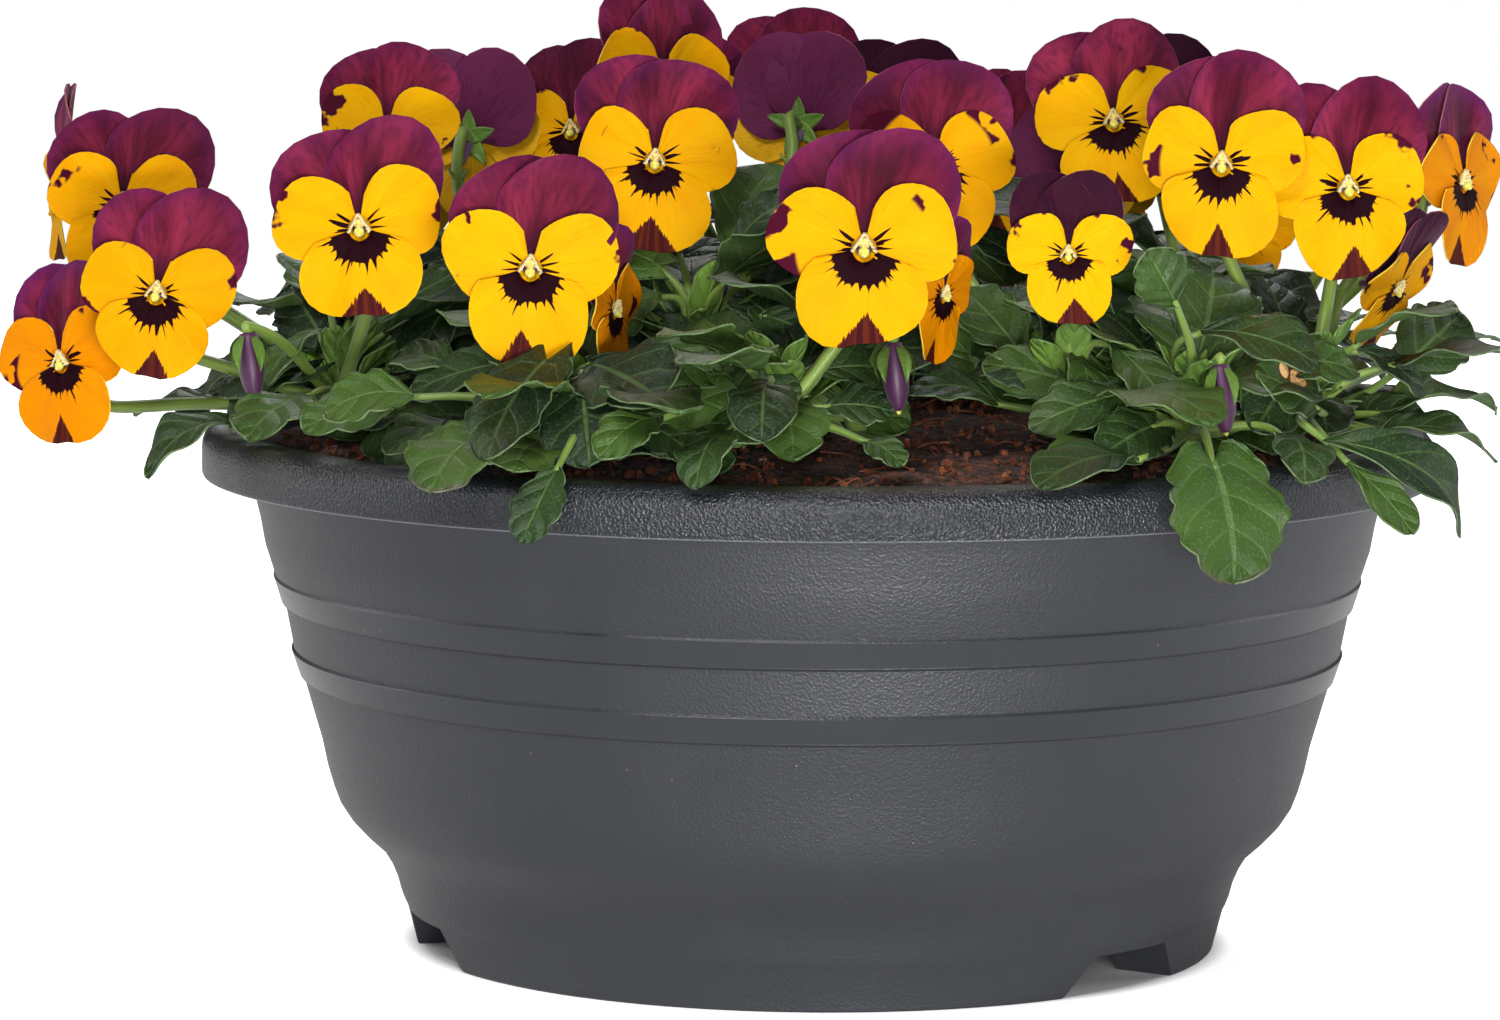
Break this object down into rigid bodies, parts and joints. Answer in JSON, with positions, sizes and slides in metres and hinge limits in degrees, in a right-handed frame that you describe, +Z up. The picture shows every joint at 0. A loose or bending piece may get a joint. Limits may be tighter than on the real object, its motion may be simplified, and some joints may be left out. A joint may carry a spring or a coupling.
{
  "type": "potted horned violet",
  "caption": "Horned violet with yellow and maroon blooms over dense leafy shoots, growing in soil in a round dark plastic bowl with an overhanging rim and foot ring.",
  "frame": {"origin": "middle of the bowl's underside, on the ground plane and on the bowl's axis", "axes": "+Z up along the bowl's axis, -Y towards the side where the blooms face, +X to the right of that view"},
  "size_m": [0.328, 0.2803, 0.2096],
  "materials": {
    "pot": "anthracite, fine leather grain on the rim, smoother bands on the wall",
    "soil": "rough brown coir and peat",
    "foliage": "soft matte green leaves, lighter stalks",
    "yellow_petals": "velvety yellow petals with dark whiskers at the throat",
    "maroon_petals": "velvety maroon petals",
    "far_petals": "velvety yellow and maroon petals"
  },
  "bodies": {
    "root": {"pot": "pot", "soil": "soil", "plant_front": "foliage", "plant_right": "foliage", "plant_left": "foliage", "plant_back_right": "foliage", "plant_back_left": "foliage", "bloom_01_yellow": "yellow_petals", "bloom_01_maroon": "maroon_petals", "bloom_02_yellow": "yellow_petals", "bloom_02_maroon": "maroon_petals", "bloom_03_yellow": "yellow_petals", "bloom_03_maroon": "maroon_petals", "bloom_04_yellow": "yellow_petals", "bloom_04_maroon": "maroon_petals", "bloom_05_yellow": "yellow_petals", "bloom_05_maroon": "maroon_petals", "bloom_06_yellow": "yellow_petals", "bloom_06_maroon": "maroon_petals", "bloom_07_yellow": "yellow_petals", "bloom_07_maroon": "maroon_petals", "bloom_08_yellow": "yellow_petals", "bloom_08_maroon": "maroon_petals", "bloom_09_yellow": "yellow_petals", "bloom_09_maroon": "maroon_petals", "bloom_10_yellow": "yellow_petals", "bloom_10_maroon": "maroon_petals", "bloom_11_yellow": "yellow_petals", "bloom_11_maroon": "maroon_petals", "bloom_12_yellow": "yellow_petals", "bloom_12_maroon": "maroon_petals", "bloom_13_yellow": "yellow_petals", "bloom_13_maroon": "maroon_petals", "bloom_14_yellow": "yellow_petals", "bloom_14_maroon": "maroon_petals", "bloom_15_yellow": "yellow_petals", "bloom_15_maroon": "maroon_petals", "bloom_16_yellow": "yellow_petals", "bloom_16_maroon": "maroon_petals", "bloom_17_yellow": "yellow_petals", "bloom_17_maroon": "maroon_petals", "bloom_18_yellow": "yellow_petals", "bloom_18_maroon": "maroon_petals", "far_bloom_01": "far_petals", "far_bloom_02": "far_petals", "far_bloom_03": "far_petals", "far_bloom_04": "far_petals", "far_bloom_05": "far_petals", "far_bloom_06": "far_petals", "far_bloom_07": "far_petals", "far_bloom_08": "far_petals", "far_bloom_09": "far_petals", "far_bloom_10": "far_petals", "far_bloom_11": "far_petals", "far_bloom_12": "far_petals", "far_bloom_13": "far_petals", "far_bloom_14": "far_petals", "far_bloom_15": "far_petals", "far_bloom_16": "far_petals", "far_bloom_17": "far_petals"}
  },
  "joints": []
}
